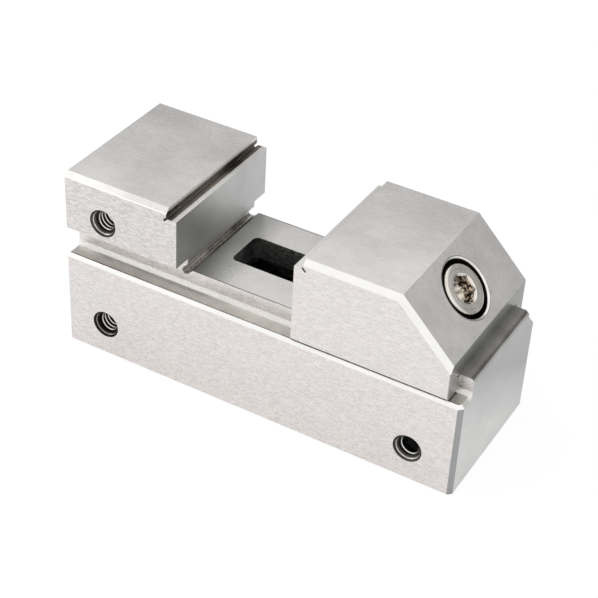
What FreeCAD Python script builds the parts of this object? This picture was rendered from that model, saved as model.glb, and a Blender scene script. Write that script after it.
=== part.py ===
import FreeCAD, Part
import os
import Sketcher

# Precision vise of the angled pull-down kind, in millimetres.
# Frame: origin at the centre of the underside, +Z up, +X from the fixed jaw towards the sliding jaw.
# The sliding jaw stands at the opening that the rest pose shows, with its clamping screw slackened.

doc = FreeCAD.newDocument("vise")

# Driving dimensions, one cell each.
# Heights are above the underside, inset means a distance from an end face of the body.
SIZES = (
    ("body_length", 66.6),
    ("jaw_width", 25.0),
    ("base_height", 16.25),
    ("bed_height", 19.3),
    ("overhang_height", 21.1),
    ("jaw_top", 30.75),
    ("ledge_width", 3.1),
    ("foot_height", 0.85),
    ("foot_proud", 0.25),
    ("edge_break", 0.12),
    ("edge_chamfer", 0.5),
    ("corner_chamfer", 0.7),
    ("jaw_chamfer", 0.8),
    ("fixed_jaw_length", 19.75),
    ("fixed_step_width", 1.75),
    ("fixed_step_drop", 1.5),
    ("relief_width", 1.25),
    ("relief_depth", 0.5),
    ("slit_width", 0.35),
    ("slit_depth", 0.6),
    ("opening_shown", 19.5),
    ("open_travel", 2.15),
    ("movable_jaw_length", 25.0),
    ("movable_step_width", 1.4),
    ("movable_step_drop", 1.3),
    ("slant_drop", 8.55),
    ("way_clearance", 0.05),
    ("ledge_clearance", 0.35),
    ("skirt_chamfer", 0.5),
    ("slot_width", 7.2),
    ("slot_corner", 1.0),
    ("slot_clearance", 0.15),
    ("side_wall", 2.2),
    ("end_wall", 4.6),
    ("roof_height", 14.0),
    ("channel_corner", 1.0),
    ("channel_clearance", 1.0),
    ("notch_count", 4),
    ("notch_height", 11.8),
    ("notch_clearance", 0.1),
    ("tap_radius", 1.65),
    ("tap_mouth_radius", 2.3),
    ("tap_depth", 8.0),
    ("tap_inset", 6.75),
    ("far_tap_inset", 7.5),
    ("base_tap_height", 5.45),
    ("jaw_tap_height", 24.15),
    ("screw_radius", 2.5),
    ("screw_length", 25.0),
    ("screw_tip_chamfer", 0.5),
    ("head_radius", 4.25),
    ("head_height", 3.5),
    ("head_sink", 0.15),
    ("head_round", 0.8),
    ("hex_across_flats", 4.0),
    ("hex_depth", 2.2),
    ("head_clearance", 0.3),
    ("mouth_chamfer", 0.25),
    ("washer_clearance", 0.15),
    ("washer_rim", 0.35),
    ("washer_sphere", 6.0),
    ("shank_clearance", 0.25),
    ("seat_gap", 0.02),
    ("spring_shoulder", 7.2),
    ("wire_radius", 0.2),
    ("spring_clearance", 0.1),
    ("spring_pocket_clearance", 0.25),
    ("spring_turns", 7),
    ("spring_end_gap", 0.05),
    ("pin_radius", 3.5),
    ("pin_side_clearance", 0.5),
    ("pin_chamfer", 0.5),
    ("pin_flat", 0.6),
    ("thread_clearance", 0.05),
    ("slack_clearance", 0.15),
)

# Places and sizes worked out from the cells
LEFT = "(-Sizes.body_length / 2)"
RIGHT = "(Sizes.body_length / 2)"
HALF_WIDTH = "(Sizes.jaw_width / 2)"
BED_HALF = "(Sizes.jaw_width / 2 - Sizes.ledge_width)"
FIXED_FACE = f"({LEFT} + Sizes.fixed_jaw_length)"
MOVABLE_FACE = f"({FIXED_FACE} + Sizes.opening_shown)"
SKIRT_FOOT = "(Sizes.base_height + Sizes.ledge_clearance)"
WAY_HALF = f"({BED_HALF} + Sizes.way_clearance)"

# The screw leaves the middle of the slanted face, square to it, at 45 degrees.
# A depth is counted from that face along the screw.
HEAD_IN_JAW = "(Sizes.movable_jaw_length - Sizes.slant_drop / 2)"
HEAD_X = f"({MOVABLE_FACE} + {HEAD_IN_JAW})"
HEAD_Z = "(Sizes.jaw_top - Sizes.slant_drop / 2)"
HEAD_SEAT = "(Sizes.head_sink + Sizes.head_height)"
TIP_DEPTH = f"({HEAD_SEAT} + Sizes.screw_length)"
BORE_RADIUS = "(Sizes.head_radius + Sizes.head_clearance)"
SHANK_BORE = "(Sizes.screw_radius + Sizes.shank_clearance)"

# Spherical washer under the head, and the cone that it sits on.
# The cone touches the sphere half-way across the ring, less a small gap.
WASHER_RADIUS = f"({BORE_RADIUS} - Sizes.washer_clearance)"
WASHER_SAGITTA = f"sqrt(pow(Sizes.washer_sphere; 2) - pow({WASHER_RADIUS}; 2))"
SPHERE_DEPTH = f"({HEAD_SEAT} + Sizes.washer_rim - {WASHER_SAGITTA})"
TOUCH_RADIUS = f"(({WASHER_RADIUS} + {SHANK_BORE}) / 2)"
TOUCH_DROP = f"(sqrt(pow(Sizes.washer_sphere; 2) - pow({TOUCH_RADIUS}; 2)))"

# The cross pin hangs just under the roof of its channel and rises into a notch when the screw is tightened.
SEATED_X = f"({HEAD_X} - {HEAD_Z} + Sizes.notch_height)"
SLACK_Z = "(Sizes.roof_height - Sizes.slack_clearance - Sizes.pin_radius)"
SLACK_DEPTH = f"(({HEAD_Z} - {SLACK_Z}) * sqrt(2))"
PIN_LENGTH = "(Sizes.jaw_width - 2 * Sizes.side_wall - 2 * Sizes.pin_side_clearance)"
NOTCH_RADIUS = "(Sizes.pin_radius + Sizes.notch_clearance)"
CHANNEL_HALF = "(Sizes.jaw_width / 2 - Sizes.side_wall)"

# The coil spring goes round the shank, from a shoulder in the jaw to the flat on the cross pin.
COIL_RADIUS = "(Sizes.screw_radius + Sizes.spring_clearance + Sizes.wire_radius)"
COIL_OUTSIDE = f"({COIL_RADIUS} + Sizes.wire_radius)"
POCKET_RADIUS = f"({COIL_OUTSIDE} + Sizes.spring_pocket_clearance)"
SPRING_TOP = "(Sizes.spring_shoulder + Sizes.wire_radius + Sizes.spring_end_gap)"
FLAT_DEPTH = f"({SLACK_DEPTH} - Sizes.pin_radius + Sizes.pin_flat)"
SPRING_FOOT = f"({FLAT_DEPTH} - Sizes.wire_radius - Sizes.spring_end_gap)"

# The slot lets screw and spring pass from the closed jaws to the widest opening,
# and the channel under it lets the screw's tip pass.
SLOT_LEFT = (
    f"({HEAD_X} - {HEAD_Z} + Sizes.roof_height - Sizes.opening_shown"
    f" - {COIL_OUTSIDE} * sqrt(2) - Sizes.slot_clearance)"
)
SLOT_RIGHT = (
    f"({HEAD_X} - {HEAD_Z} + Sizes.bed_height + Sizes.open_travel"
    f" + {COIL_OUTSIDE} * sqrt(2) + Sizes.slot_clearance)"
)
CHANNEL_LEFT = (
    f"({HEAD_X} - ({TIP_DEPTH} + Sizes.screw_radius) / sqrt(2) - Sizes.opening_shown"
    f" - Sizes.channel_clearance)"
)
CHANNEL_RIGHT = f"({RIGHT} - Sizes.end_wall)"


def make_sheet():
    sheet = doc.addObject("Spreadsheet::Sheet", "Sizes")
    for row, (alias, value) in enumerate(SIZES, start=1):
        sheet.set(f"A{row}", alias.replace("_", " "))
        sheet.set(f"B{row}", str(value))
        sheet.setAlias(f"B{row}", alias)
    doc.recompute()
    return sheet


def origin_plane(body, role):
    return next(f for f in body.Origin.OriginFeatures if f.Role == role)


def new_body(name):
    body = doc.addObject("PartDesign::Body", name)
    body.Label = name
    return body


def new_sketch(body, name, role, offset=(), turn=0.0):
    """A sketch on one of the body's own planes; offset is up to three expressions, turn is in degrees."""
    sketch = body.newObject("Sketcher::SketchObject", name)
    sketch.AttachmentSupport = (origin_plane(body, role), [""])
    sketch.MapMode = "FlatFace"
    turned = FreeCAD.Rotation(FreeCAD.Vector(0, 0, 1), turn)
    sketch.AttachmentOffset = FreeCAD.Placement(FreeCAD.Vector(), turned)
    for axis, expression in zip("xyz", offset):
        sketch.setExpression(f"AttachmentOffset.Base.{axis}", expression)
    return sketch


def bind(sketch, kind, geometry, point, expression):
    """Ties one coordinate of a sketch point to an expression."""
    index = sketch.addConstraint(Sketcher.Constraint(kind, -1, 1, geometry, point, 1.0))
    sketch.setExpression(f"Constraints[{index}]", expression)


def outline(sketch, points):
    """A closed outline of straight edges through points whose coordinates are expressions."""
    first = sketch.GeometryCount
    count = len(points)
    corners = [FreeCAD.Vector(i + 1, (i * i) % 7 + 1, 0) for i in range(count)]
    for i in range(count):
        sketch.addGeometry(Part.LineSegment(corners[i], corners[(i + 1) % count]), False)
    for i in range(count):
        following = first + (i + 1) % count
        sketch.addConstraint(Sketcher.Constraint("Coincident", first + i, 2, following, 1))
    for i, (across, up) in enumerate(points):
        bind(sketch, "DistanceX", first + i, 1, across)
        bind(sketch, "DistanceY", first + i, 1, up)


def circle(sketch, across, up, radius):
    index = sketch.GeometryCount
    sketch.addGeometry(Part.Circle(FreeCAD.Vector(1, 1, 0), FreeCAD.Vector(0, 0, 1), 1.0), False)
    bind(sketch, "DistanceX", index, 3, across)
    bind(sketch, "DistanceY", index, 3, up)
    number = sketch.addConstraint(Sketcher.Constraint("Radius", index, 1.0))
    sketch.setExpression(f"Constraints[{number}]", radius)


def pad(body, sketch, length):
    """A pad of the given length, half on each side of the sketch."""
    feature = body.newObject("PartDesign::Pad", sketch.Name + "_pad")
    feature.Profile = sketch
    feature.SideType = "Symmetric"
    feature.setExpression("Length", length)
    doc.recompute()
    return feature


def pocket(body, sketch, length=None, symmetric=False, reverse=False):
    """A pocket; without a length it goes through everything on both sides of the sketch."""
    before = body.Tip.Shape.Volume
    feature = body.newObject("PartDesign::Pocket", sketch.Name + "_cut")
    feature.Profile = sketch
    if length is None:
        feature.Type = "ThroughAll"
        feature.SideType = "Symmetric"
    else:
        feature.setExpression("Length", length)
        feature.SideType = "Symmetric" if symmetric else "One side"
        feature.Reversed = reverse
    doc.recompute()
    if feature.Shape.isNull() or feature.Shape.Volume >= before:
        raise RuntimeError(sketch.Name + " cut nothing")
    return feature


def revolve(body, kind, sketch):
    feature = body.newObject("PartDesign::" + kind, sketch.Name + "_turn")
    feature.Profile = sketch
    feature.ReferenceAxis = (sketch, ["V_Axis"])
    feature.Angle = 360.0
    doc.recompute()
    return feature


def edges(feature, accept):
    """Names of the straight or round edges that accept(edge, middle point) picks."""
    found = []
    for number, edge in enumerate(feature.Shape.Edges, start=1):
        first, last = edge.ParameterRange
        if accept(edge, edge.valueAt((first + last) / 2)):
            found.append(f"Edge{number}")
    return found


def dress(body, kind, name, accept, size):
    """A chamfer or a fillet on the picked edges of the body's last feature."""
    base = body.Tip
    names = edges(base, accept)
    if not names:
        raise RuntimeError(name + " found no edge")
    feature = body.newObject("PartDesign::" + kind, name)
    feature.Base = (base, names)
    feature.setExpression("Size" if kind == "Chamfer" else "Radius", size)
    doc.recompute()
    if feature.Shape.isNull() or not feature.Shape.isValid():
        raise RuntimeError(name + " has no valid shape")
    return feature


def near(value, target):
    return abs(value - target) < 0.01


def runs_along(edge, direction):
    """Whether a straight edge is parallel to a direction."""
    if edge.Curve.TypeId != "Part::GeomLine":
        return False
    return abs(edge.tangentAt(edge.FirstParameter).dot(direction)) > 0.999


def place_on_screw(thing, depth="0"):
    """Puts a piece on the screw's axis, its own Z pointing out of the head."""
    tilt = FreeCAD.Rotation(FreeCAD.Vector(0, 1, 0), 45)
    thing.Placement = FreeCAD.Placement(FreeCAD.Vector(), tilt)
    thing.setExpression("Placement.Base.x", f"{HEAD_X} - {depth} / sqrt(2)")
    thing.setExpression("Placement.Base.z", f"{HEAD_Z} - {depth} / sqrt(2)")


ALONG_X = FreeCAD.Vector(1, 0, 0)
ALONG_Z = FreeCAD.Vector(0, 0, 1)
DOWN_SLANT = FreeCAD.Vector(1, 0, -1).normalize()


def corner_slit(sketch, across, up, side):
    """A narrow slit at 45 degrees in an inner corner, so that a ground edge of the work clears it."""
    half = "Sizes.slit_width / 2 / sqrt(2)"
    mouth = "Sizes.slit_width / sqrt(2)"
    deep = "Sizes.slit_depth / sqrt(2)"
    outline(sketch, (
        (f"{across} - {half} - ({side}) * {mouth}", f"{up} - ({side}) * {half} + {mouth}"),
        (f"{across} + {half} - ({side}) * {mouth}", f"{up} + ({side}) * {half} + {mouth}"),
        (f"{across} + {half} + ({side}) * {deep}", f"{up} + ({side}) * {half} - {deep}"),
        (f"{across} - {half} + ({side}) * {deep}", f"{up} - ({side}) * {half} - {deep}"),
    ))


def make_vise_body(sheet):
    """The block: base, raised bed and fixed jaw in one, slotted above and channelled below."""
    body = new_body("vise_body")
    profile = new_sketch(body, "side_profile", "XZ_Plane")
    step_x = f"({FIXED_FACE} - Sizes.fixed_step_width)"
    step_z = "(Sizes.jaw_top - Sizes.fixed_step_drop)"
    outline(profile, (
        (LEFT, "0"),
        (RIGHT, "0"),
        (RIGHT, "Sizes.bed_height"),
        (FIXED_FACE, "Sizes.bed_height"),
        (FIXED_FACE, step_z),
        (step_x, step_z),
        (step_x, "Sizes.jaw_top"),
        (LEFT, "Sizes.jaw_top"),
    ))
    pad(body, profile, "Sizes.jaw_width")

    # Clamping ledges: a channel along each side, between the base and the overhanging fixed jaw
    ledges = new_sketch(body, "ledges", "YZ_Plane")
    for side in ("-1", "1"):
        outline(ledges, (
            (f"({side}) * {HALF_WIDTH}", "Sizes.base_height"),
            (f"({side}) * ({BED_HALF} + Sizes.foot_proud)", "Sizes.base_height"),
            (f"({side}) * {BED_HALF}", "Sizes.base_height + Sizes.foot_height"),
            (f"({side}) * {BED_HALF}", "Sizes.overhang_height"),
            (f"({side}) * {HALF_WIDTH}", "Sizes.overhang_height"),
        ))
    pocket(body, ledges)

    half_width = sheet.jaw_width / 2
    half_length = sheet.body_length / 2
    bed_half = half_width - sheet.ledge_width

    # Front and right edges are bevelled, the others only broken
    def jaw_front_edge(edge, middle):
        at_front = near(middle.y, -half_width)
        return at_front and near(middle.z, sheet.jaw_top) and runs_along(edge, ALONG_X)

    dress(body, "Chamfer", "jaw_front_bevel", jaw_front_edge, "Sizes.jaw_chamfer")

    def right_corner(edge, middle):
        at_corner = near(middle.x, half_length) and near(abs(middle.y), half_width)
        return at_corner and runs_along(edge, ALONG_Z)

    dress(body, "Chamfer", "right_corners", right_corner, "Sizes.corner_chamfer")

    def bed_edge(edge, middle):
        at_right = near(middle.x, half_length)
        if near(middle.z, sheet.base_height):
            at_corner = middle.x > half_length - sheet.corner_chamfer and abs(middle.y) > bed_half
            return near(middle.y, -half_width) or at_corner
        return at_right and near(middle.z, sheet.bed_height)

    dress(body, "Chamfer", "bed_bevels", bed_edge, "Sizes.edge_chamfer")

    def other_edge(edge, middle):
        at_left = near(middle.x, -half_length)
        at_end = near(abs(middle.x), half_length)
        at_side = near(abs(middle.y), half_width)
        if near(middle.z, 0):
            return at_end or at_side
        if near(middle.z, sheet.base_height):
            return near(middle.y, half_width) or (at_left and abs(middle.y) > bed_half)
        if near(middle.z, sheet.jaw_top):
            return at_left or near(middle.y, half_width)
        return at_left and at_side and runs_along(edge, ALONG_Z)

    dress(body, "Chamfer", "broken_edges", other_edge, "Sizes.edge_break")

    # Round-bottomed relief at 45 degrees in the corner of the fixed jaw and the bed
    corner = (FIXED_FACE, "Sizes.bed_height")
    relief = new_sketch(body, "corner_relief", "XZ_Plane", corner, -45.0)
    half = "Sizes.relief_width / 2"
    outline(relief, (
        (f"-{half}", "-Sizes.relief_depth"),
        (half, "-Sizes.relief_depth"),
        (half, "Sizes.relief_width"),
        (f"-{half}", "Sizes.relief_width"),
    ))
    pocket(body, relief)
    relief_floor = new_sketch(body, "corner_relief_floor", "XZ_Plane", corner, -45.0)
    circle(relief_floor, "0", "-Sizes.relief_depth", half)
    pocket(body, relief_floor)
    slit = new_sketch(body, "fixed_step_slit", "XZ_Plane")
    corner_slit(slit, step_x, step_z, "-1")
    pocket(body, slit)

    # Slot for the screw, and the channel below it for the cross pin
    slot = new_sketch(body, "bed_slot", "XY_Plane")
    outline(slot, (
        (SLOT_LEFT, "-Sizes.slot_width / 2"),
        (SLOT_RIGHT, "-Sizes.slot_width / 2"),
        (SLOT_RIGHT, "Sizes.slot_width / 2"),
        (SLOT_LEFT, "Sizes.slot_width / 2"),
    ))
    pocket(body, slot)
    slot_half = sheet.slot_width / 2

    def slot_corner(edge, middle):
        return runs_along(edge, ALONG_Z) and near(abs(middle.y), slot_half)

    dress(body, "Fillet", "slot_corners", slot_corner, "Sizes.slot_corner")
    channel = new_sketch(body, "pin_channel", "XY_Plane")
    outline(channel, (
        (CHANNEL_LEFT, f"-{CHANNEL_HALF}"),
        (CHANNEL_RIGHT, f"-{CHANNEL_HALF}"),
        (CHANNEL_RIGHT, CHANNEL_HALF),
        (CHANNEL_LEFT, CHANNEL_HALF),
    ))
    pocket(body, channel, "Sizes.roof_height", reverse=True)
    channel_half = half_width - sheet.side_wall

    def channel_corner(edge, middle):
        return runs_along(edge, ALONG_Z) and near(abs(middle.y), channel_half)

    dress(body, "Fillet", "channel_corners", channel_corner, "Sizes.channel_corner")

    # Rounded notches across the channel's roof, one for each stretch of the jaw's travel.
    # The last one is long enough for the widest opening.
    notch = new_sketch(body, "notch", "XZ_Plane")
    circle(notch, f"{SEATED_X} - Sizes.opening_shown", "Sizes.notch_height", NOTCH_RADIUS)
    notch_cut = pocket(body, notch, f"2 * {CHANNEL_HALF}", symmetric=True)
    row = body.newObject("PartDesign::LinearPattern", "notch_row")
    row.Originals = [notch_cut]
    row.Direction = (notch, ["H_Axis"])
    row.setExpression("Length", "Sizes.opening_shown")
    row.setExpression("Occurrences", "Sizes.notch_count")
    body.Tip = row
    doc.recompute()
    last_end = new_sketch(body, "last_notch_end", "XZ_Plane")
    circle(last_end, f"{SEATED_X} + Sizes.open_travel", "Sizes.notch_height", NOTCH_RADIUS)
    pocket(body, last_end, f"2 * {CHANNEL_HALF}", symmetric=True)
    last_roof = new_sketch(body, "last_notch_roof", "XZ_Plane")
    outline(last_roof, (
        (SEATED_X, "Sizes.notch_height"),
        (f"{SEATED_X} + Sizes.open_travel", "Sizes.notch_height"),
        (f"{SEATED_X} + Sizes.open_travel", f"Sizes.notch_height + {NOTCH_RADIUS}"),
        (SEATED_X, f"Sizes.notch_height + {NOTCH_RADIUS}"),
    ))
    pocket(body, last_roof, f"2 * {CHANNEL_HALF}", symmetric=True)

    # Tapped holes in the front side: two low in the base, one in the fixed jaw
    taps = new_sketch(body, "tapped_holes", "XZ_Plane", ("0", "0", HALF_WIDTH))
    circle(taps, f"{LEFT} + Sizes.tap_inset", "Sizes.base_tap_height", "Sizes.tap_radius")
    circle(taps, f"{RIGHT} - Sizes.far_tap_inset", "Sizes.base_tap_height", "Sizes.tap_radius")
    circle(taps, f"{LEFT} + Sizes.tap_inset", "Sizes.jaw_tap_height", "Sizes.tap_radius")
    doc.recompute()
    hole = body.newObject("PartDesign::Hole", "tapped_holes_cut")
    hole.Profile = taps
    hole.ThreadType = "None"
    hole.DepthType = "Dimension"
    hole.DrillPoint = "Flat"
    hole.HoleCutType = "Countersink"
    hole.HoleCutCountersinkAngle = 90.0
    hole.setExpression("Diameter", "2 * Sizes.tap_radius")
    hole.setExpression("Depth", "Sizes.tap_depth")
    hole.setExpression("HoleCutDiameter", "2 * Sizes.tap_mouth_radius")
    doc.recompute()
    return body


def make_movable_jaw(sheet):
    """The sliding jaw: a bridge that straddles the bed, slanted at the back for the screw."""
    body = new_body("movable_jaw")
    step_z = "(Sizes.jaw_top - Sizes.movable_step_drop)"
    profile = new_sketch(body, "jaw_profile", "XZ_Plane")
    outline(profile, (
        ("0", SKIRT_FOOT),
        ("Sizes.movable_jaw_length", SKIRT_FOOT),
        ("Sizes.movable_jaw_length", "Sizes.jaw_top - Sizes.slant_drop"),
        ("Sizes.movable_jaw_length - Sizes.slant_drop", "Sizes.jaw_top"),
        ("Sizes.movable_step_width", "Sizes.jaw_top"),
        ("Sizes.movable_step_width", step_z),
        ("0", step_z),
    ))
    pad(body, profile, "Sizes.jaw_width")

    # Way that straddles the bed, with a slit in each inner corner and its lips bevelled off
    way = new_sketch(body, "way", "YZ_Plane")
    slit_floor = "(Sizes.bed_height - Sizes.slit_width)"
    left_half = (
        (f"-{WAY_HALF} - Sizes.skirt_chamfer", SKIRT_FOOT),
        (f"-{WAY_HALF}", f"{SKIRT_FOOT} + Sizes.skirt_chamfer"),
        (f"-{WAY_HALF}", slit_floor),
        (f"-{WAY_HALF} - Sizes.slit_depth", slit_floor),
        (f"-{WAY_HALF} - Sizes.slit_depth", "Sizes.bed_height"),
    )
    right_half = tuple((f"-({across})", up) for across, up in reversed(left_half))
    outline(way, left_half + right_half)
    pocket(body, way)

    half_width = sheet.jaw_width / 2

    def on_top_or_slant(edge, middle):
        on_top = runs_along(edge, ALONG_X) and near(middle.z, sheet.jaw_top)
        return on_top or runs_along(edge, DOWN_SLANT)

    def front_edge(edge, middle):
        return near(middle.y, -half_width) and on_top_or_slant(edge, middle)

    dress(body, "Chamfer", "front_bevels", front_edge, "Sizes.jaw_chamfer")

    def back_edge(edge, middle):
        at_end = near(middle.x, sheet.movable_jaw_length)
        if at_end and near(abs(middle.y), half_width):
            return runs_along(edge, ALONG_Z)
        return near(middle.y, half_width) and on_top_or_slant(edge, middle)

    dress(body, "Chamfer", "broken_edges_of_jaw", back_edge, "Sizes.edge_break")
    slit = new_sketch(body, "movable_step_slit", "XZ_Plane")
    corner_slit(slit, "Sizes.movable_step_width", step_z, "1")
    pocket(body, slit)

    # Screw bore: mouth, counterbore, conical seat, shank hole and spring pocket
    bore = new_sketch(body, "screw_bore", "XZ_Plane", (HEAD_IN_JAW, HEAD_Z), -45.0)
    below = f"((({HEAD_Z} - Sizes.bed_height) * sqrt(2)) + 2 * {POCKET_RADIUS})"
    mouth = f"({BORE_RADIUS} + Sizes.mouth_chamfer)"
    outline(bore, (
        ("0", "Sizes.head_radius"),
        (mouth, "Sizes.head_radius"),
        (mouth, "0"),
        (BORE_RADIUS, "-Sizes.mouth_chamfer"),
        (BORE_RADIUS, f"-{seat_depth(BORE_RADIUS)}"),
        (SHANK_BORE, f"-{seat_depth(SHANK_BORE)}"),
        (SHANK_BORE, "-Sizes.spring_shoulder"),
        (POCKET_RADIUS, "-Sizes.spring_shoulder"),
        (POCKET_RADIUS, f"-{below}"),
        ("0", f"-{below}"),
    ))
    revolve(body, "Groove", bore)
    body.setExpression("Placement.Base.x", MOVABLE_FACE)
    return body


def seat_depth(radius):
    """Depth of the conical seat at a radius."""
    slope = f"({TOUCH_RADIUS} / {TOUCH_DROP})"
    return f"({SPHERE_DEPTH} + {TOUCH_DROP} + {slope} * ({TOUCH_RADIUS} - {radius}) + Sizes.seat_gap)"


def make_spherical_washer():
    disc = doc.addObject("Part::Cylinder", "washer_disc")
    disc.setExpression("Radius", WASHER_RADIUS)
    disc.setExpression("Height", "Sizes.washer_sphere")
    disc.setExpression("Placement.Base.z", f"-{HEAD_SEAT} - Sizes.washer_sphere")
    ball = doc.addObject("Part::Sphere", "washer_ball")
    ball.setExpression("Radius", "Sizes.washer_sphere")
    ball.setExpression("Placement.Base.z", f"-{SPHERE_DEPTH}")
    domed = doc.addObject("Part::Common", "washer_domed")
    domed.Base = disc
    domed.Tool = ball
    hole = doc.addObject("Part::Cylinder", "washer_hole")
    hole.setExpression("Radius", SHANK_BORE)
    hole.setExpression("Height", "2 * Sizes.washer_sphere")
    hole.setExpression("Placement.Base.z", f"-{HEAD_SEAT} - Sizes.washer_sphere")
    washer = doc.addObject("Part::Cut", "spherical_washer")
    washer.Label = "spherical_washer"
    washer.Base = domed
    washer.Tool = hole
    place_on_screw(washer)
    return washer


def make_clamping_screw(sheet):
    """Socket head cap screw with a low head, its thread drawn at the outside diameter."""
    body = new_body("clamping_screw")
    profile = new_sketch(body, "screw_profile", "XZ_Plane")
    outline(profile, (
        ("0", "-Sizes.head_sink"),
        ("Sizes.head_radius", "-Sizes.head_sink"),
        ("Sizes.head_radius", f"-{HEAD_SEAT}"),
        ("Sizes.screw_radius", f"-{HEAD_SEAT}"),
        ("Sizes.screw_radius", f"-{TIP_DEPTH} + Sizes.screw_tip_chamfer"),
        ("Sizes.screw_radius - Sizes.screw_tip_chamfer", f"-{TIP_DEPTH}"),
        ("0", f"-{TIP_DEPTH}"),
    ))
    revolve(body, "Revolution", profile)

    def head_rim(edge, middle):
        return near(middle.z, -sheet.head_sink) and edge.Curve.TypeId == "Part::GeomCircle"

    dress(body, "Fillet", "head_round", head_rim, "Sizes.head_round")
    socket = new_sketch(body, "hex_socket", "XY_Plane", ("0", "0", "-Sizes.head_sink"))
    corner = "(Sizes.hex_across_flats / sqrt(3))"
    flat = "(Sizes.hex_across_flats / 2)"
    outline(socket, (
        (corner, "0"),
        (f"{corner} / 2", flat),
        (f"-{corner} / 2", flat),
        (f"-{corner}", "0"),
        (f"-{corner} / 2", f"-{flat}"),
        (f"{corner} / 2", f"-{flat}"),
    ))
    pocket(body, socket, "Sizes.hex_depth")
    place_on_screw(body)
    return body


def make_cross_pin(sheet):
    """Round bar across the channel, tapped for the screw, with a flat for the spring."""
    body = new_body("cross_pin")
    profile = new_sketch(body, "pin_profile", "XZ_Plane")
    circle(profile, "0", "0", "Sizes.pin_radius")
    pad(body, profile, PIN_LENGTH)

    def end_rim(edge, middle):
        return edge.Curve.TypeId == "Part::GeomCircle"

    dress(body, "Chamfer", "pin_ends", end_rim, "Sizes.pin_chamfer")
    tapped = new_sketch(body, "pin_thread", "XY_Plane")
    circle(tapped, "0", "0", "Sizes.screw_radius + Sizes.thread_clearance")
    pocket(body, tapped)
    flat = new_sketch(body, "spring_flat", "XY_Plane", ("0", "0", "Sizes.pin_radius - Sizes.pin_flat"))
    circle(flat, "0", "0", POCKET_RADIUS)
    pocket(body, flat, "Sizes.pin_radius", reverse=True)
    place_on_screw(body, SLACK_DEPTH)
    return body


def make_return_spring():
    """Coil spring that holds the head on its seat and pushes the cross pin out of its notch.

    Its wire is eight-sided, which keeps its long thin surfaces few.
    """
    body = new_body("return_spring")
    profile = new_sketch(body, "wire_section", "YZ_Plane")
    outline(profile, tuple(
        (
            f"{COIL_RADIUS} + Sizes.wire_radius * cos({angle})",
            f"-{SPRING_FOOT} + Sizes.wire_radius * sin({angle})",
        )
        for angle in (22.5, 67.5, 112.5, 157.5, 202.5, 247.5, 292.5, 337.5)
    ))
    doc.recompute()
    coil = body.newObject("PartDesign::AdditiveHelix", "coil")
    coil.Profile = profile
    coil.ReferenceAxis = (profile, ["V_Axis"])
    coil.Mode = "height-turns-angle"
    coil.setExpression("Height", f"{SPRING_FOOT} - {SPRING_TOP}")
    coil.setExpression("Turns", "Sizes.spring_turns")
    doc.recompute()
    place_on_screw(body)
    return body


sheet = make_sheet()
pieces = (
    make_vise_body(sheet),
    make_movable_jaw(sheet),
    make_clamping_screw(sheet),
    make_spherical_washer(),
    make_cross_pin(sheet),
    make_return_spring(),
)
doc.recompute()

for thing in doc.Objects:
    if "Invalid" in thing.State or "Error" in thing.State:
        raise RuntimeError(f"{thing.Name} did not compute: {thing.State}")
for piece in pieces:
    if piece.Shape.isNull() or not piece.Shape.isValid():
        raise RuntimeError(f"{piece.Label} has no valid shape")

os.makedirs("parts", exist_ok=True)
for piece in pieces:
    piece.Shape.exportStep(f"parts/{piece.Label}.step")
    box = piece.Shape.BoundBox
    print(
        f"{piece.Label}: {len(piece.Shape.Solids)} solid, {piece.Shape.Volume:.1f} mm3,"
        f" X {box.XMin:.2f} to {box.XMax:.2f}, Y {box.YMin:.2f} to {box.YMax:.2f},"
        f" Z {box.ZMin:.2f} to {box.ZMax:.2f}"
    )
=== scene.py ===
import bpy
import math
from mathutils import Matrix, Vector


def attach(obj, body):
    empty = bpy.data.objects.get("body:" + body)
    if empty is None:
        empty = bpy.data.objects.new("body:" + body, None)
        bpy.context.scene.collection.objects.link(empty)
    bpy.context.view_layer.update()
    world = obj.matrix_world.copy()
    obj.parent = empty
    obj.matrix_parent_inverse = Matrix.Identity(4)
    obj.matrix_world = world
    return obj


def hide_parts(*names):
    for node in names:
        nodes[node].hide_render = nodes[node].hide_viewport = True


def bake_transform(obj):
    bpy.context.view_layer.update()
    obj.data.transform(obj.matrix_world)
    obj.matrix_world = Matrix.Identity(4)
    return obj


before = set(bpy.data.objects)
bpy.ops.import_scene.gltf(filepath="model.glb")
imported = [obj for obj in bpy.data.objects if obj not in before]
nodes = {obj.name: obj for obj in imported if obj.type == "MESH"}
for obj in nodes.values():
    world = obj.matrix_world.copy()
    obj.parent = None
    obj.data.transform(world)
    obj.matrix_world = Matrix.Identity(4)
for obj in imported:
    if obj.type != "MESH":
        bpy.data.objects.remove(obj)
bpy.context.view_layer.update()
scene = bpy.context.scene
scene.view_settings.view_transform = "Standard"
MM = 0.001


# The camera stands in front, to the right and above, as the photographer did.
# A long lens keeps the block's edges nearly parallel.
lens_right = Vector((0.86360, 0.50202, 0.04658))
lens_up = Vector((-0.33081, 0.49449, 0.80377))
lens_back = Vector((0.38047, -0.70954, 0.59312))
camera_data = bpy.data.cameras.new("camera")
camera_data.lens = 96.93
camera_data.sensor_width = 36.0
camera_data.clip_start = 0.01
camera = bpy.data.objects.new("camera", camera_data)
scene.collection.objects.link(camera)
turn = Matrix((lens_right, lens_up, lens_back)).transposed().to_4x4()
camera.matrix_world = Matrix.Translation((0.09260, -0.17210, 0.15759)) @ turn
scene.camera = camera


# A white table in a light tent. The tent is bright overhead and in front and falls off towards the back,
# which is what tells the faces of bare steel apart. The camera sees the table lifted to white, with a share
# of the vise's shadow left in it.
def deselect():
    """Leaves nothing selected."""
    for thing in list(bpy.context.selected_objects):
        thing.select_set(False)


def add(tree, kind, **settings):
    """A new shader node of a kind."""
    node = tree.nodes.new("ShaderNode" + kind)
    for name, value in settings.items():
        setattr(node, name, value)
    return node


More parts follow.
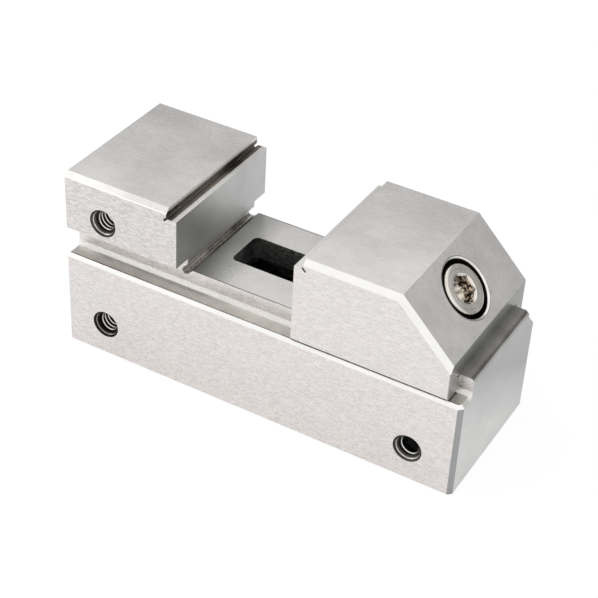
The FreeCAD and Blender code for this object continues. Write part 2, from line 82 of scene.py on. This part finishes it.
def join(tree, source, target):
    tree.links.new(source, target)


def maths(tree, operation, first, second=0.0, third=0.0):
    """The result of one sum; each term is a number or another node's output."""
    node = add(tree, "Math", operation=operation)
    for socket, value in zip(node.inputs, (first, second, third)):
        if isinstance(value, (int, float)):
            socket.default_value = value
        else:
            join(tree, value, socket)
    return node.outputs[0]


def blend_of(tree, share, first, second, kind="FLOAT"):
    """The first value at share 0, the second at share 1."""
    node = add(tree, "Mix", data_type=kind)
    factor = node.inputs[0]
    slots = (2, 3) if kind == "FLOAT" else (6, 7)
    for socket, value in zip((factor, node.inputs[slots[0]], node.inputs[slots[1]]), (share, first, second)):
        if isinstance(value, (int, float, tuple)):
            socket.default_value = value
        else:
            join(tree, value, socket)
    return node.outputs[0 if kind == "FLOAT" else 2]


MERGE_DISTANCE = 0.000001
TABLE_RADIUS = 0.9
TABLE_DROP = 0.00002
LIFTED_SHARE = 0.8
# Half the vise's outline on the table, where nothing is lifted.
COVERED_X = 0.0325
COVERED_Y = 0.0120

deselect()
bpy.ops.mesh.primitive_circle_add(
    vertices=64, radius=TABLE_RADIUS, fill_type="NGON", location=(0, 0, -TABLE_DROP)
)
table = bpy.context.object
table.name = "table_top"
table_paint = bpy.data.materials.new("white_table")
table_paint.use_nodes = True
tree = table_paint.node_tree
tree.nodes.clear()
matt = add(tree, "BsdfDiffuse")
matt.inputs["Color"].default_value = (0.80, 0.80, 0.80, 1)
plain_white = add(tree, "Emission")
plain_white.inputs["Strength"].default_value = 1.06
ray = add(tree, "LightPath")
spot = add(tree, "TexCoord")
spot_axes = add(tree, "SeparateXYZ")
join(tree, spot.outputs["Object"], spot_axes.inputs[0])
covered = maths(
    tree,
    "MULTIPLY",
    maths(tree, "COMPARE", spot_axes.outputs["X"], 0.0, COVERED_X),
    maths(tree, "COMPARE", spot_axes.outputs["Y"], 0.0, COVERED_Y),
)
open_table = maths(tree, "SUBTRACT", 1.0, covered)
lifted = maths(tree, "MULTIPLY", ray.outputs["Is Camera Ray"], LIFTED_SHARE)
seen = add(tree, "MixShader")
table_out = add(tree, "OutputMaterial")
join(tree, maths(tree, "MULTIPLY", lifted, open_table), seen.inputs["Fac"])
join(tree, matt.outputs[0], seen.inputs[1])
join(tree, plain_white.outputs[0], seen.inputs[2])
join(tree, seen.outputs[0], table_out.inputs["Surface"])
table.data.materials.append(table_paint)

TENT_SLOPE = Vector((0.25, -3.0, 4.2))
TENT_MIDDLE = 0.93
TENT_DARKEST = 0.52
TENT_BRIGHTEST = 1.4

tent = bpy.data.worlds.new("light_tent")
scene.world = tent
tent.use_nodes = True
tree = tent.node_tree
tree.nodes.clear()
direction = add(tree, "TexCoord")
rise = add(tree, "VectorMath", operation="DOT_PRODUCT")
rise.inputs[1].default_value = TENT_SLOPE
join(tree, direction.outputs["Generated"], rise.inputs[0])
level = maths(tree, "ADD", rise.outputs["Value"], TENT_MIDDLE)
level = maths(tree, "MAXIMUM", level, TENT_DARKEST)
level = maths(tree, "MINIMUM", level, TENT_BRIGHTEST)
ray = add(tree, "LightPath")
cloth = add(tree, "Background")
tent_out = add(tree, "OutputWorld")
join(tree, blend_of(tree, ray.outputs["Is Camera Ray"], level, 1.0), cloth.inputs["Strength"])
join(tree, cloth.outputs[0], tent_out.inputs["Surface"])

key_data = bpy.data.lights.new("key_softbox", "AREA")
key_data.shape = "SQUARE"
key_data.size = 0.5
key_data.energy = 1.0
key = bpy.data.objects.new("key_softbox", key_data)
scene.collection.objects.link(key)
key.location = (-0.70, -0.25, 0.55)
key.rotation_euler = (Vector((0, 0, 0.015)) - key.location).to_track_quat("-Z", "Y").to_euler()


# Ground and hardened tool steel, the finish of the block and of the sliding jaw.
# The grinding wheel leaves fine lines along each face; the milled recesses inside are rough, and painted
# dark as shade.
def within(tree, axes, spans):
    """1 inside a box given in millimetres, 0 outside it."""
    found = 1.0
    for value, (low, high) in zip(axes, spans):
        inside = maths(tree, "COMPARE", value, (low + high) / 2 * MM, (high - low) / 2 * MM)
        found = maths(tree, "MULTIPLY", found, inside)
    return found


def near_line(tree, across, up, centre, inner, outer):
    """1 between two distances from a line that runs square to two axes, in millimetres."""
    side = maths(tree, "SUBTRACT", across, centre[0] * MM)
    rise = maths(tree, "SUBTRACT", up, centre[1] * MM)
    square = maths(tree, "ADD", maths(tree, "POWER", side, 2), maths(tree, "POWER", rise, 2))
    away = maths(tree, "SQRT", square)
    return maths(tree, "COMPARE", away, (inner + outer) / 2 * MM, (outer - inner) / 2 * MM)


def all_of(tree, *masks):
    """1 where every mask is 1."""
    found = masks[0]
    for mask in masks[1:]:
        found = maths(tree, "MULTIPLY", found, mask)
    return found


def facing_along(tree, normal, share=0.95):
    """1 where one part of the normal, either way, is above a share."""
    return maths(tree, "GREATER_THAN", maths(tree, "ABSOLUTE", normal), share)


def add_clamped(tree, first, second):
    """A sum kept between 0 and 1."""
    total = maths(tree, "ADD", first, second)
    total.node.use_clamp = True
    return total


def grain(tree, coords, stretch, detail=4.0):
    """Fine noise drawn out along one direction; stretch is cycles per metre along X, Y and Z."""
    mapping = add(tree, "Mapping")
    mapping.inputs["Scale"].default_value = stretch
    join(tree, coords, mapping.inputs["Vector"])
    noise = add(tree, "TexNoise")
    noise.inputs["Scale"].default_value = 1.0
    noise.inputs["Detail"].default_value = detail
    noise.inputs["Roughness"].default_value = 0.6
    join(tree, mapping.outputs[0], noise.inputs["Vector"])
    return noise.outputs["Fac"]


def spread(tree, value, low, high, start=0.3, end=0.7):
    """A noise value stretched from its usual span to another span."""
    node = add(tree, "MapRange")
    join(tree, value, node.inputs["Value"])
    for name, number in (("From Min", start), ("From Max", end), ("To Min", low), ("To Max", high)):
        node.inputs[name].default_value = number
    return node.outputs[0]


def ground_steel(name, marks, polish=0.0, gain=1.0):
    """Ground steel. marks(tree, axes, normal) lists what lies over it: (mask, dark, light, roughness)."""
    paint = bpy.data.materials.new(name)
    paint.use_nodes = True
    tree = paint.node_tree
    shader = tree.nodes["Principled BSDF"]
    coords = add(tree, "TexCoord")
    place = add(tree, "SeparateXYZ")
    join(tree, coords.outputs["Object"], place.inputs[0])
    facing = add(tree, "SeparateXYZ")
    join(tree, coords.outputs["Normal"], facing.inputs[0])
    axes = place.outputs[0], place.outputs[1], place.outputs[2]
    normal = facing.outputs[0], facing.outputs[1], facing.outputs[2]
    at_end = facing_along(tree, normal[0], 0.6)
    at_side = facing_along(tree, normal[1])
    square = maths(tree, "MAXIMUM", facing_along(tree, normal[0]), facing_along(tree, normal[2]))
    square = maths(tree, "MAXIMUM", square, at_side)
    bevel = all_of(tree, facing_along(tree, normal[1], 0.3), maths(tree, "SUBTRACT", 1.0, square))
    shaded_upright_bevel = all_of(tree, bevel, maths(tree, "LESS_THAN", maths(tree, "ABSOLUTE", normal[2]), 0.3))

    lengthwise = grain(tree, coords.outputs["Object"], (1400, 5800, 5800), 2.0)
    crosswise = grain(tree, coords.outputs["Object"], (5800, 1400, 5800), 2.0)
    lines = blend_of(tree, at_end, lengthwise, crosswise)
    speckle = grain(tree, coords.outputs["Object"], (3600, 3600, 3600), 2.0)
    mottle = grain(tree, coords.outputs["Object"], (900, 900, 900), 5.0)
    cloud = grain(tree, coords.outputs["Object"], (100, 140, 140), 3.0)
    tone = 0.0
    for pattern, elsewhere, on_sides in (
        (lines, 0.17, 0.72),
        (mottle, 0.15, 0.04),
        (speckle, 0.08, 0.21),
        (cloud, 0.60, 0.03),
    ):
        part = maths(tree, "MULTIPLY", pattern, blend_of(tree, at_side, elsewhere, on_sides))
        tone = maths(tree, "ADD", tone, part)
    level = spread(tree, tone, 0.0, 1.0, 0.39, 0.61)
    ground = blend_of(tree, level, (0.65, 0.64, 0.625, 1), (0.78, 0.765, 0.75, 1), "RGBA")
    # Painted shade: the tops are painted lighter at the front and darker towards the back; gain scales them
    # as well.
    across = add_clamped(tree, maths(tree, "MULTIPLY", axes[1], 40.0), 0.5)
    bright = maths(tree, "MULTIPLY", blend_of(tree, across, 1.05, 0.91), gain)
    top_with_painted_shade = add(tree, "VectorMath", operation="SCALE")
    join(tree, ground, top_with_painted_shade.inputs[0])
    join(tree, bright, top_with_painted_shade.inputs["Scale"])
    ground = blend_of(tree, facing_along(tree, normal[2]), ground, top_with_painted_shade.outputs[0], "RGBA")
    milled = blend_of(tree, level, (0.78, 0.745, 0.73, 1), (0.94, 0.90, 0.88, 1), "RGBA")
    colour = blend_of(tree, at_side, ground, milled, "RGBA")
    honed = blend_of(tree, level, (0.80, 0.795, 0.78, 1), (0.86, 0.85, 0.835, 1), "RGBA")
    colour = blend_of(tree, bevel, colour, honed, "RGBA")
    # Painted shade: upright bevels are painted a flat darker grey than the other bevels.
    colour = blend_of(tree, shaded_upright_bevel, colour, (0.39, 0.39, 0.395, 1), "RGBA")
    rough = spread(tree, lines, 0.22 - polish, 0.34 - polish)
    rough = maths(tree, "ADD", rough, maths(tree, "MULTIPLY", at_end, 0.12))
    rough = maths(tree, "ADD", rough, spread(tree, speckle, -0.04, 0.05))
    rough = blend_of(tree, bevel, rough, 0.22)

    for mask, dark, light, dull in marks(tree, axes, normal):
        patch = blend_of(tree, level, (*dark, 1), (*light, 1), "RGBA")
        colour = blend_of(tree, mask, colour, patch, "RGBA")
        rough = blend_of(tree, mask, rough, dull)
    join(tree, colour, shader.inputs["Base Color"])
    join(tree, rough, shader.inputs["Roughness"])
    shader.inputs["Metallic"].default_value = 1.0

    relief = add(tree, "Bump")
    relief.inputs["Strength"].default_value = 0.2
    relief.inputs["Distance"].default_value = 0.00002
    join(tree, maths(tree, "ADD", maths(tree, "MULTIPLY", lines, 0.6), speckle), relief.inputs["Height"])
    soft_edge = add(tree, "Bevel", samples=4)
    soft_edge.inputs["Radius"].default_value = 0.00007
    join(tree, soft_edge.outputs[0], relief.inputs["Normal"])
    join(tree, relief.outputs[0], shader.inputs["Normal"])
    return paint


def wear(node, paint):
    """Gives a node one material all over."""
    node.data.materials.clear()
    node.data.materials.append(paint)


# The block: base, raised bed and fixed jaw cut from one piece of tool steel.
# Its slot, channel, corner relief and tapped holes are left as milled, and painted dark, brown to black, as
# shade in the recesses.
TAPPED_HOLES = {"jaw": (-26.55, 24.15), "base_left": (-26.55, 5.45), "base_right": (25.8, 5.45)}
SINK_RADIUS = 2.0
WHOLE_LENGTH = (-33.4, 33.4)
FIXED_JAW = (-33.4, -13.4)
WHOLE_WIDTH = (-12.6, 12.6)
LEDGE_TOP = (16.1, 16.4)
BED_TOP = (19.2, 19.6)


def block_marks(tree, axes, normal):
    """What lies over the block's steel, with boxes and lines in millimetres."""
    flat_up = facing_along(tree, normal[2])
    flat_on = facing_along(tree, normal[0])
    sideways = facing_along(tree, normal[1])
    off_side = maths(tree, "SUBTRACT", 1.0, facing_along(tree, normal[1], 0.5))
    plain = maths(tree, "MAXIMUM", flat_up, flat_on)
    across, up = axes[0], axes[2]
    both = axes[0], maths(tree, "ABSOLUTE", axes[1]), axes[2]

    slot = within(tree, axes, ((-9.8, 26.2), (-3.65, 3.65), (13.9, 19.24)))
    channel = within(tree, axes, ((-15.9, 28.75), (-10.35, 10.35), (0.06, 15.6)))
    relief = near_line(tree, across, up, (-13.9, 18.95), 0, 1.45)
    relief = all_of(tree, relief, off_side, maths(tree, "SUBTRACT", 1.0, plain))
    step = all_of(tree, near_line(tree, across, up, (-15.3, 29.25), 0, 0.95), off_side)
    grip = all_of(tree, flat_on, within(tree, axes, ((-13.7, -13.4), WHOLE_WIDTH, (19.4, 30.0))))

    bores = 0.0
    start = 0.0
    for centre in TAPPED_HOLES.values():
        bore = near_line(tree, across, up, centre, 0, SINK_RADIUS + 0.32)
        rim = near_line(tree, across, up, centre, SINK_RADIUS - 0.12, SINK_RADIUS)
        bores = maths(tree, "MAXIMUM", bores, bore)
        start = maths(tree, "MAXIMUM", start, rim)
    deep = maths(tree, "COMPARE", axes[1], -8.0 * MM, 4.49 * MM)

    ledge = all_of(tree, flat_up, within(tree, both, (WHOLE_LENGTH, (9.3, 12.6), LEDGE_TOP)))
    foot = all_of(tree, sideways, within(tree, both, (WHOLE_LENGTH, (9.0, 9.8), (16.2, 16.75))))
    bed_edge = all_of(tree, flat_up, within(tree, both, ((-13.0, 33.4), (9.2, 9.42), BED_TOP)))
    ledge_edge = all_of(tree, flat_up, within(tree, both, (WHOLE_LENGTH, (11.78, 12.1), LEDGE_TOP)))
    brow = within(tree, axes, (FIXED_JAW, (-12.49, -11.6), (30.1, 30.749)))
    brow = all_of(tree, brow, maths(tree, "SUBTRACT", 1.0, maths(tree, "MAXIMUM", plain, sideways)))
    jaw_side = all_of(tree, sideways, within(tree, axes, (FIXED_JAW, WHOLE_WIDTH, (20, 31))))

    # Painted reflection of the fixed jaw: the bed is painted darker towards it.
    jaw_reflection_ramp = add_clamped(tree, maths(tree, "MULTIPLY", across, -170.0), -1.1)
    bed = within(tree, axes, ((-13.2, 6.0), (-9.42, 9.42), BED_TOP))
    bed = all_of(tree, jaw_reflection_ramp, flat_up, bed)
    sill_edge = all_of(tree, flat_up, within(tree, axes, ((32.62, 32.85), WHOLE_WIDTH, (19.3, 19.6))))
    sill = all_of(tree, flat_up, within(tree, axes, ((30.6, 33.4), WHOLE_WIDTH, (19.3, 19.6))))
    lip = within(tree, axes, ((32.6, 33.29), (-9.3, 9.3), (18.5, 19.43)))
    lip_light = all_of(tree, lip, maths(tree, "GREATER_THAN", across, 33.08 * MM))

    # Painted light and shade: the right end is painted lighter, with painted shade upwards and to the back,
    # and the fixed jaw's face is painted lighter upwards and to the back.
    end = maths(tree, "GREATER_THAN", across, 33.28 * MM)
    shade = maths(tree, "ADD", maths(tree, "MULTIPLY", up, 100.0), maths(tree, "MULTIPLY", axes[1], 55.0))
    shade = add_clamped(tree, shade, -0.5)
    glow = maths(tree, "ADD", maths(tree, "MULTIPLY", axes[1], 125.0), maths(tree, "MULTIPLY", up, 112.0))
    glow = add_clamped(tree, glow, -1.95)
    return (
        (jaw_side, (0.66, 0.63, 0.61), (0.92, 0.88, 0.86), 0.3),
        (end, (0.79, 0.79, 0.78), (0.87, 0.87, 0.86), 0.36),
        (all_of(tree, end, shade), (0.45, 0.455, 0.455), (0.49, 0.495, 0.495), 0.36),
        # Painted shade: the ledges are painted darker, grey-brown.
        (ledge, (0.42, 0.40, 0.375), (0.62, 0.60, 0.57), 0.35),
        # Painted highlight: a pale band along the foot of the bed's walls.
        (foot, (0.90, 0.88, 0.86), (1.0, 0.99, 0.97), 0.3),
        # Painted shade: thin dark lines along the bed's and the ledge's long edges.
        (maths(tree, "MAXIMUM", bed_edge, ledge_edge), (0.12, 0.11, 0.10), (0.42, 0.39, 0.36), 0.4),
        (brow, (0.62, 0.605, 0.59), (0.76, 0.745, 0.73), 0.25),
        # Painted reflection: the bed darkens towards the fixed jaw.
        (bed, (0.32, 0.32, 0.315), (0.38, 0.38, 0.37), 0.3),
        (sill, (0.21, 0.205, 0.195), (0.31, 0.305, 0.29), 0.4),
        (sill_edge, (0.04, 0.035, 0.03), (0.10, 0.09, 0.08), 0.4),
        (lip, (0.12, 0.115, 0.105), (0.26, 0.25, 0.235), 0.35),
        (lip_light, (0.55, 0.54, 0.52), (0.75, 0.73, 0.71), 0.3),
        # Painted reflection: the fixed jaw's face is painted dark, lighter upwards and to the back.
        (grip, (0.36, 0.36, 0.35), (0.40, 0.40, 0.39), 0.55),
        (all_of(tree, grip, glow), (0.58, 0.585, 0.58), (0.66, 0.665, 0.66), 0.5),
        # Painted shade: the slot, channel, corner relief, step and tapped holes are painted dark.
        (slot, (0.05, 0.055, 0.05), (0.38, 0.40, 0.375), 0.55),
        (channel, (0.02, 0.02, 0.018), (0.12, 0.115, 0.105), 0.6),
        (relief, (0.07, 0.06, 0.05), (0.46, 0.41, 0.37), 0.5),
        (step, (0.05, 0.042, 0.035), (0.26, 0.23, 0.20), 0.5),
        (all_of(tree, bores, deep), (0.012, 0.011, 0.01), (0.10, 0.09, 0.08), 0.5),
        (all_of(tree, start, deep), (0.22, 0.21, 0.20), (0.70, 0.68, 0.65), 0.3),
    )


wear(nodes["vise_body"], ground_steel("ground_block", block_marks))


# Threads in the three side holes: M4, 0.7 mm a turn.
# The crests are bright steel, painted lighter as caught light, and the roots between them are painted black
# as shade.
THREAD_PITCH = 0.7
CREST_RADIUS = 1.44
ROOT_RADIUS = 1.70

thread_metal = bpy.data.materials.new("tapped_thread")
thread_metal.use_nodes = True
tree = thread_metal.node_tree
shader = tree.nodes["Principled BSDF"]
coords = add(tree, "TexCoord")
speck = grain(tree, coords.outputs["Object"], (2500, 2500, 2500))
place = add(tree, "SeparateXYZ")
join(tree, coords.outputs["Object"], place.inputs[0])
crest = 0.0
for centre in TAPPED_HOLES.values():
    inner = near_line(tree, place.outputs[0], place.outputs[2], centre, 0, CREST_RADIUS + 0.09)
    crest = maths(tree, "MAXIMUM", crest, inner)
fleck = spread(tree, speck, 0.0, 1.0)
bright = blend_of(tree, fleck, (0.72, 0.70, 0.67, 1), (0.95, 0.93, 0.90, 1), "RGBA")
tint = blend_of(tree, crest, (0.03, 0.028, 0.025, 1), bright, "RGBA")
join(tree, tint, shader.inputs["Base Color"])
shader.inputs["Metallic"].default_value = 1.0
join(tree, spread(tree, speck, 0.25, 0.45), shader.inputs["Roughness"])


def helix(name, section, axis, pitch, turns, steps):
    """Winds a closed section of (out, along) points in millimetres about an axis and closes its two ends."""
    deselect()
    bpy.ops.mesh.primitive_circle_add(vertices=len(section), radius=1.0, fill_type="NOTHING")
    wound = bpy.context.object
    wound.name = name
    for corner, (out, along) in zip(wound.data.vertices, section):
        corner.co = (out * MM, along * MM, 0) if axis == "Y" else (out * MM, 0, along * MM)
    sweep = wound.modifiers.new("helix", "SCREW")
    sweep.axis = axis
    sweep.screw_offset = pitch * MM
    sweep.angle = math.radians(360)
    sweep.steps = steps
    sweep.render_steps = steps
    sweep.iterations = turns
    sweep.use_merge_vertices = True
    sweep.merge_threshold = MERGE_DISTANCE
    bpy.ops.object.modifier_apply(modifier=sweep.name)
    bpy.ops.object.mode_set(mode="EDIT")
    bpy.ops.mesh.select_all(action="SELECT")
    bpy.ops.mesh.fill_holes(sides=0)
    bpy.ops.mesh.select_all(action="SELECT")
    bpy.ops.mesh.normals_make_consistent(inside=False)
    bpy.ops.object.mode_set(mode="OBJECT")
    return wound


def thread_ridge(hole, mouth_y, turns):
    """The thread inside a tapped hole that runs along Y."""
    axis_x, axis_z = TAPPED_HOLES[hole]
    section = ((ROOT_RADIUS, -0.26), (CREST_RADIUS, -0.04), (CREST_RADIUS, 0.04), (ROOT_RADIUS, 0.26))
    ridge = helix("thread_in_" + hole, section, "Y", THREAD_PITCH, turns, 40)
    ridge.location = (axis_x * MM, mouth_y * MM, axis_z * MM)
    bpy.ops.object.transform_apply(location=True, rotation=True, scale=True)
    bpy.ops.object.shade_smooth_by_angle(angle=math.radians(35))
    wear(ridge, thread_metal)
    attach(ridge, "base")


thread_ridge("jaw", -11.5, 9)
thread_ridge("base_left", -11.5, 9)
thread_ridge("base_right", -11.55, 1)


# The sliding jaw: the same steel, lapped a little brighter.
# Its counterbore is turned, and is painted dark below the screw's head as shade; along the jaw's foot a thin
# dark line is painted as the shade of the gap above the ledge.
SLANT_X = 26.675
SLANT_Z = 26.475
BORE_RADIUS = 4.7
GAP_TOP = 16.82


def about_screw(tree, axes):
    """How deep a point lies below the slanted face, and how far from the screw's axis."""
    slope = maths(tree, "MULTIPLY", maths(tree, "ADD", axes[0], axes[2]), math.sqrt(0.5))
    depth = maths(tree, "SUBTRACT", (SLANT_X + SLANT_Z) * math.sqrt(0.5) * MM, slope)
    level = maths(tree, "MULTIPLY", maths(tree, "SUBTRACT", axes[0], axes[2]), math.sqrt(0.5))
    level = maths(tree, "SUBTRACT", level, (SLANT_X - SLANT_Z) * math.sqrt(0.5) * MM)
    away = maths(tree, "ADD", maths(tree, "POWER", level, 2), maths(tree, "POWER", axes[1], 2))
    return depth, maths(tree, "SQRT", away)


def jaw_marks(tree, axes, normal):
    """What lies over the sliding jaw's steel."""
    depth, away = about_screw(tree, axes)
    bore = maths(tree, "LESS_THAN", away, BORE_RADIUS * MM)
    # Painted shade inside the counterbore, below the screw's head.
    below = all_of(tree, maths(tree, "GREATER_THAN", depth, 0.25 * MM), bore)
    # A thin darker ring just outside the counterbore's rim.
    dark_edge_ring = maths(tree, "COMPARE", away, 4.86 * MM, 0.05 * MM)
    # Painted highlight on the counterbore's rim.
    mouth = maths(tree, "COMPARE", away, 4.68 * MM, 0.11 * MM)
    wall = all_of(tree, facing_along(tree, normal[0]), maths(tree, "GREATER_THAN", axes[0], 20 * MM))
    # Painted shade of the gap along the jaw's foot.
    gap = all_of(tree, facing_along(tree, normal[1]), maths(tree, "LESS_THAN", axes[2], GAP_TOP * MM))
    return (
        (wall, (0.30, 0.30, 0.285), (0.40, 0.40, 0.385), 0.35),
        (gap, (0.05, 0.045, 0.04), (0.16, 0.15, 0.14), 0.5),
        (below, (0.012, 0.010, 0.008), (0.09, 0.08, 0.07), 0.5),
        (dark_edge_ring, (0.16, 0.15, 0.14), (0.34, 0.32, 0.30), 0.5),
        (mouth, (0.62, 0.61, 0.59), (0.90, 0.89, 0.87), 0.3),
    )


wear(nodes["movable_jaw"], ground_steel("ground_jaw", jaw_marks, polish=0.04, gain=1.08))


# The clamping screw: a low-head M5 socket cap screw, nickel plated.
# The thread is rolled, the socket broached with a drill point below it.
SLANT_POINT = Vector((SLANT_X * MM, 0, SLANT_Z * MM))
ALONG_SCREW = Matrix.Translation(SLANT_POINT) @ Matrix.Rotation(math.radians(45), 4, "Y")
SCREW_PITCH = 0.8

plated = bpy.data.materials.new("nickel_plate")
plated.use_nodes = True
tree = plated.node_tree
shader = tree.nodes["Principled BSDF"]
coords = add(tree, "TexCoord")
place = add(tree, "SeparateXYZ")
join(tree, coords.outputs["Object"], place.inputs[0])
depth, away = about_screw(tree, (place.outputs[0], place.outputs[1], place.outputs[2]))
film = grain(tree, coords.outputs["Object"], (500, 500, 500))
dirt_and_shade_noise = grain(tree, coords.outputs["Object"], (1500, 1500, 1500), 2.0)
tint = blend_of(tree, spread(tree, film, 0.0, 1.0), (0.66, 0.62, 0.565, 1), (0.80, 0.775, 0.735, 1), "RGBA")
# The socket's inside is painted dark as shade, mottled with dirt.
dirt_and_shade_share = spread(tree, dirt_and_shade_noise, 0.0, 1.0, 0.44, 0.60)
socket_dirt_and_shade = blend_of(tree, dirt_and_shade_share, (0.012, 0.009, 0.006, 1), (0.95, 0.86, 0.74, 1), "RGBA")
in_socket = maths(tree, "LESS_THAN", away, 2.36 * MM)
socket = all_of(tree, in_socket, maths(tree, "GREATER_THAN", depth, 0.62 * MM))
tint = blend_of(tree, socket, tint, socket_dirt_and_shade, "RGBA")
# Painted highlight on the socket's floor.
socket_floor_glint = all_of(tree, maths(tree, "LESS_THAN", away, 2.0 * MM), maths(tree, "GREATER_THAN", depth, 2.1 * MM))
tint = blend_of(tree, socket_floor_glint, tint, (0.95, 0.93, 0.90, 1), "RGBA")
# Painted shade in the small groove on the head's top.
head_groove_shade = maths(tree, "COMPARE", away, 3.0 * MM, 0.07 * MM)
tint = blend_of(tree, head_groove_shade, tint, (0.40, 0.37, 0.33, 1), "RGBA")
# Painted shade: the head's side is painted dark brown deeper down in the counterbore.
side = add_clamped(tree, maths(tree, "MULTIPLY", depth, 1400.0), -0.40)
side = all_of(tree, side, maths(tree, "GREATER_THAN", away, 3.7 * MM))
tint = blend_of(tree, side, tint, (0.09, 0.065, 0.04, 1), "RGBA")
join(tree, tint, shader.inputs["Base Color"])
shader.inputs["Metallic"].default_value = 1.0
join(tree, spread(tree, film, 0.14, 0.24), shader.inputs["Roughness"])


def lathe(name, outline, steps=96):
    """Turns an outline of (radius, height) points in millimetres about Z."""
    deselect()
    bpy.ops.mesh.primitive_circle_add(vertices=len(outline), radius=1.0, fill_type="NOTHING")
    turned = bpy.context.object
    turned.name = name
    for corner, (out, height) in zip(turned.data.vertices, outline):
        corner.co = (out * MM, 0, height * MM)
    spun = turned.modifiers.new("turn", "SCREW")
    spun.axis = "Z"
    spun.angle = math.radians(360)
    spun.steps = steps
    spun.render_steps = steps
    spun.use_merge_vertices = True
    spun.merge_threshold = MERGE_DISTANCE
    bpy.ops.object.modifier_apply(modifier=spun.name)
    bpy.ops.object.mode_set(mode="EDIT")
    bpy.ops.mesh.select_all(action="SELECT")
    bpy.ops.mesh.remove_doubles(threshold=MERGE_DISTANCE)
    bpy.ops.mesh.normals_make_consistent(inside=False)
    bpy.ops.object.mode_set(mode="OBJECT")
    return turned


screw_outline = [
    (0, -0.15), (2.9, -0.15), (2.98, -0.2), (3.06, -0.15), (3.55, -0.15), (3.72, -0.2), (3.84, -0.34),
    (3.92, -0.6), (4.0, -0.95), (4.12, -1.25), (4.25, -1.5),
    (4.25, -3.5), (4.12, -3.65), (2.5, -3.65), (2.5, -8.6), (2.09, -9.0),
    (2.09, -28.3), (1.85, -28.65), (0, -28.65),
]
screw = lathe("cap_screw", screw_outline)

HEXAGON_WIDTH = 4
deselect()
bpy.ops.mesh.primitive_cylinder_add(
    vertices=6, radius=HEXAGON_WIDTH / math.sqrt(3) * MM, depth=4.4 * MM, location=(0, 0, -0.15 * MM)
)
hexagon = bpy.context.object
bpy.ops.object.transform_apply(location=True, rotation=True, scale=True)
hexagon.data.transform(Matrix.Rotation(math.radians(30), 4, "Z"))
cone = lathe("drill_point", [(0, -3.4), (1.95, -2.3), (1.95, -1.0), (0, -1.0)], 48)
mouth = lathe("socket_mouth", [(0, -0.45), (2.05, -0.45), (2.5, 0.0), (0, 0.0)], 48)
for cutter in (hexagon, cone, mouth):
    deselect()
    screw.select_set(True)
    bpy.context.view_layer.objects.active = screw
    cut = screw.modifiers.new("cut", "BOOLEAN")
    cut.operation = "DIFFERENCE"
    cut.solver = "EXACT"
    cut.object = cutter
    bpy.ops.object.modifier_apply(modifier=cut.name)
    bpy.data.objects.remove(cutter)

thread_section = ((2.04, -28.28), (2.49, -27.96), (2.49, -27.84), (2.04, -27.52))
rolled = helix("rolled_thread", thread_section, "Z", SCREW_PITCH, 23, 48)
deselect()
rolled.select_set(True)
screw.select_set(True)
bpy.context.view_layer.objects.active = screw
bpy.ops.object.join()
screw.data.transform(ALONG_SCREW)
bpy.ops.object.shade_smooth_by_angle(angle=math.radians(30))
wear(screw, plated)
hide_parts("clamping_screw")
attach(screw, "screw")


# Washer under the head and cross pin in the channel.
# Both are plain turned steel, hidden but for the pin, which shows from below.
def turned_steel(name, dark, light, rough):
    """Bright steel with fine lines along Y."""
    paint = bpy.data.materials.new(name)
    paint.use_nodes = True
    tree = paint.node_tree
    shader = tree.nodes["Principled BSDF"]
    coords = add(tree, "TexCoord")
    lay = grain(tree, coords.outputs["Object"], (4000, 120, 4000))
    join(tree, blend_of(tree, spread(tree, lay, 0.0, 1.0), dark, light, "RGBA"), shader.inputs["Base Color"])
    join(tree, spread(tree, lay, rough, rough + 0.15), shader.inputs["Roughness"])
    shader.inputs["Metallic"].default_value = 1.0
    relief = add(tree, "Bump")
    relief.inputs["Strength"].default_value = 0.2
    relief.inputs["Distance"].default_value = 0.00001
    join(tree, lay, relief.inputs["Height"])
    join(tree, relief.outputs[0], shader.inputs["Normal"])
    return paint


washer_paint = turned_steel("turned_washer", (0.36, 0.35, 0.33, 1), (0.5, 0.49, 0.47, 1), 0.3)
wear(nodes["spherical_washer"], washer_paint)
pin_paint = turned_steel("turned_pin", (0.42, 0.41, 0.39, 1), (0.6, 0.58, 0.55, 1), 0.25)
wear(nodes["cross_pin"], pin_paint)


# The coil spring round the screw, from a shoulder in the jaw to the flat on the cross pin.
# It is drawn wire.
COIL_RADIUS = 2.8
WIRE_RADIUS = 0.2
SPRING_TOP = 7.45
SPRING_FOOT = 19.654
SPRING_TURNS = 7

wire_section = []
for step in range(12):
    angle = math.radians(step * 30)
    out = COIL_RADIUS + WIRE_RADIUS * math.cos(angle)
    wire_section.append((out, WIRE_RADIUS * math.sin(angle) - SPRING_FOOT))
coil_pitch = (SPRING_FOOT - SPRING_TOP) / SPRING_TURNS
coil = helix("wound_spring", wire_section, "Z", coil_pitch, SPRING_TURNS, 40)
coil.data.transform(ALONG_SCREW)
bpy.ops.object.shade_smooth_by_angle(angle=math.radians(40))
wear(coil, turned_steel("spring_wire", (0.45, 0.45, 0.46, 1), (0.62, 0.62, 0.63, 1), 0.2))
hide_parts("return_spring")
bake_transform(coil)
